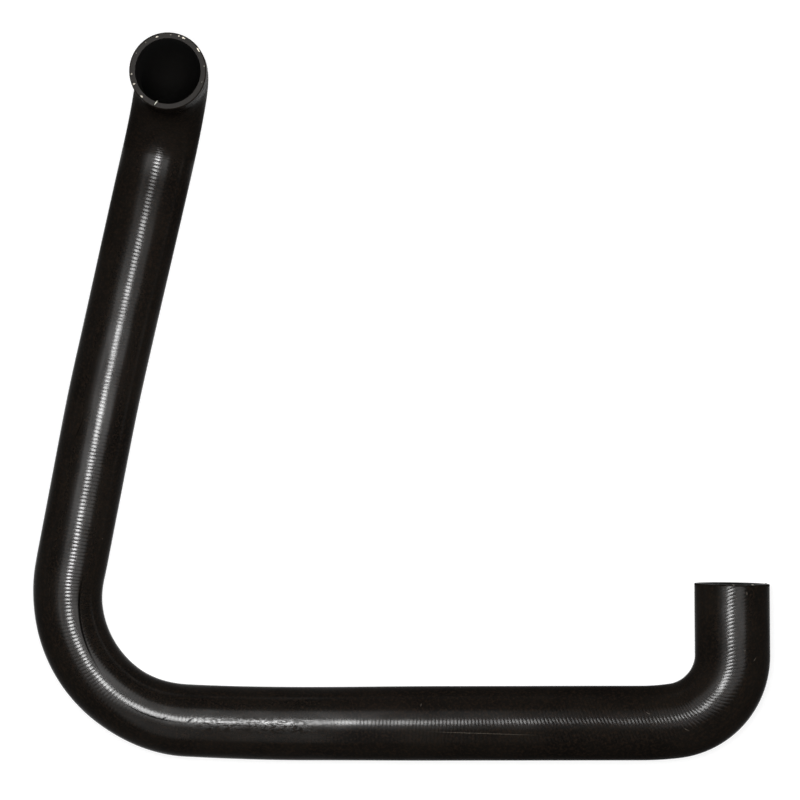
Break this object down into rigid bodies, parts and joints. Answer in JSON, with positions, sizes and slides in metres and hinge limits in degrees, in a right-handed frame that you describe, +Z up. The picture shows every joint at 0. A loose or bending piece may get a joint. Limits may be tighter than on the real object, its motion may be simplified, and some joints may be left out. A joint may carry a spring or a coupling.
{
  "type": "air intake hose",
  "caption": "Moulded black rubber air intake hose, bent to fit round an engine bay, with plain cut ends that slide over pipes.",
  "frame": {"origin": "centre of the hose's footprint, on the surface it lies on", "axes": "+X along the long leg, towards the side end; +Y the way the side end opens; +Z up, the way the upper end opens"},
  "size_m": [0.5772, 0.5612, 0.1508],
  "materials": {
    "rubber": "satin"
  },
  "bodies": {
    "root": {"hose": "rubber"}
  },
  "joints": []
}
